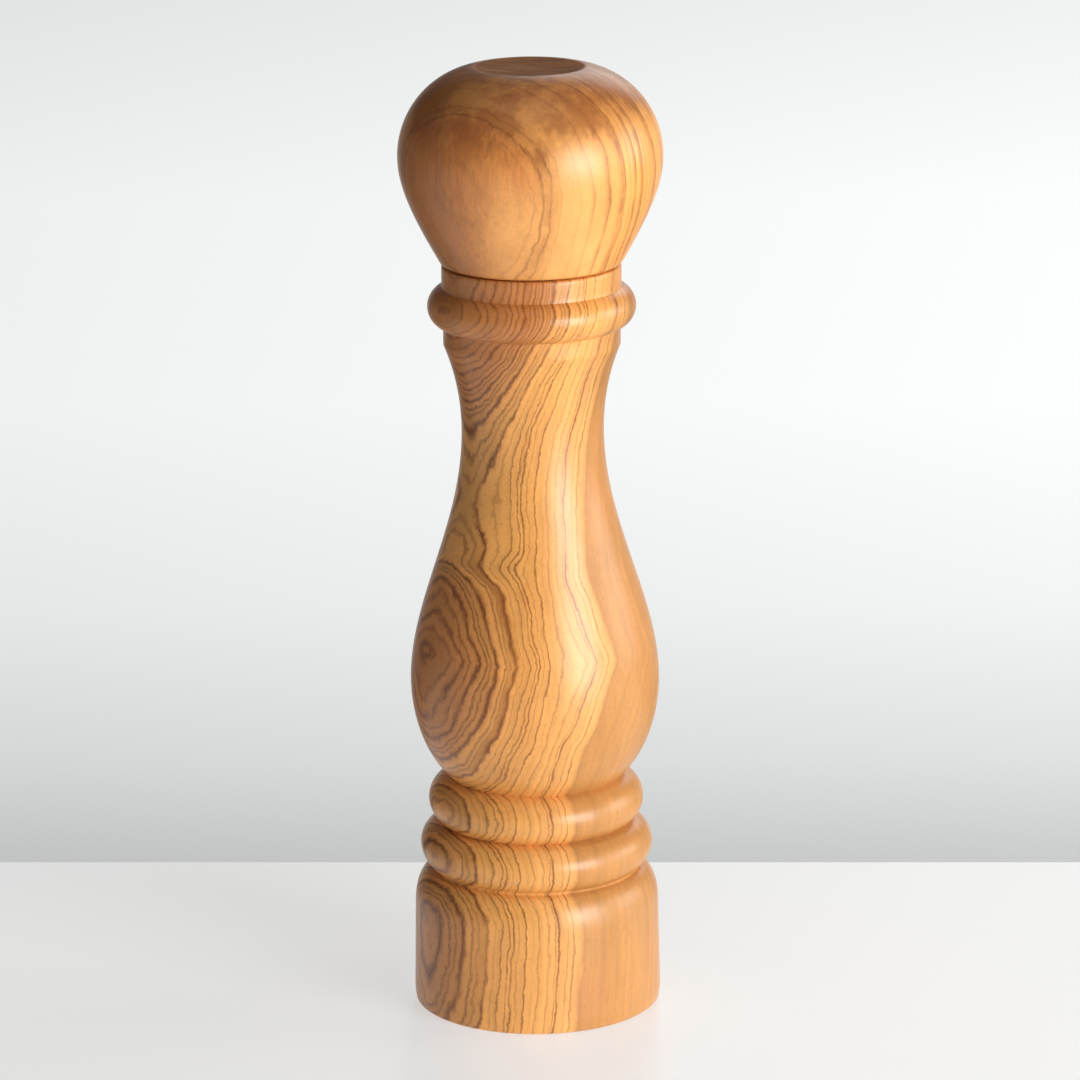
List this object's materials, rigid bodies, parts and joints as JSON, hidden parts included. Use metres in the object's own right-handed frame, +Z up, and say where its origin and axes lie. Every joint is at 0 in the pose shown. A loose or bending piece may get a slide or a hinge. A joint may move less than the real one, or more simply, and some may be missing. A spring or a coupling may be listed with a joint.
{
  "type": "pepper mill",
  "caption": "Turned olive-wood pepper mill with a lift-off head, square drive shaft and a ceramic grinder set by a knob under the base.",
  "frame": {"origin": "centre of the base, on the plane the mill stands on", "axes": "+Z up along the turning axis, towards the head; X and Y are free"},
  "size_m": [0.0628, 0.0628, 0.2302],
  "materials": {
    "olive_wood_body": "turned olive wood, oiled satin",
    "black_plastic": "moulded, satin",
    "white_ceramic": "fired, satin",
    "spring_steel": "bright steel",
    "shaft_aluminium": "drawn bar, satin",
    "nut_brass": "turned brass",
    "olive_wood_head": "turned olive wood, darker block, oiled satin"
  },
  "bodies": {
    "mill_body": {"body_shell": "olive_wood_body", "mechanism_housing": "black_plastic", "bearing_bridge": "black_plastic", "grinding_ring": "white_ceramic", "ring_clip": "spring_steel", "thrust_washer": "spring_steel", "mechanism_screw_1": "spring_steel", "mechanism_screw_2": "spring_steel", "mechanism_screw_3": "spring_steel"},
    "drive": {"drive_shaft": "shaft_aluminium", "shaft_bush": "black_plastic", "shaft_clip": "spring_steel", "spring_seat": "spring_steel", "cone_spring": "spring_steel"},
    "head": {"head_knob": "olive_wood_head", "head_insert": "black_plastic", "grip_ring": "spring_steel", "head_screw_1": "spring_steel", "head_screw_2": "spring_steel"},
    "cone": {"feed_hub": "black_plastic", "grinding_cone": "white_ceramic", "knob_washer": "spring_steel"},
    "adjuster": {"adjusting_knob": "black_plastic", "adjusting_nut": "nut_brass"}
  },
  "joints": [
    {"name": "head_turn", "type": "hinge", "parent": "mill_body", "child": "drive", "pos_m": [0, 0, 0.045], "axis": [0, 0, 1], "continuous": true},
    {"name": "head_lift", "type": "slide", "parent": "drive", "child": "head", "axis": [0, 0, 1], "range_m": [0, 0.05]},
    {"name": "cone_shift", "type": "slide", "parent": "drive", "child": "cone", "axis": [0, 0, 1], "range_m": [0, 0.0014], "deforming": ["cone_spring"]},
    {"name": "adjust_turn", "type": "hinge", "parent": "cone", "child": "adjuster", "pos_m": [0, 0, 0.0043], "axis": [0, 0, 1], "range_deg": [0, 720]}
  ],
  "couplings": [
    {"joint": "adjust_turn", "follows": "cone_shift", "rad_per_m": 8975.9}
  ]
}
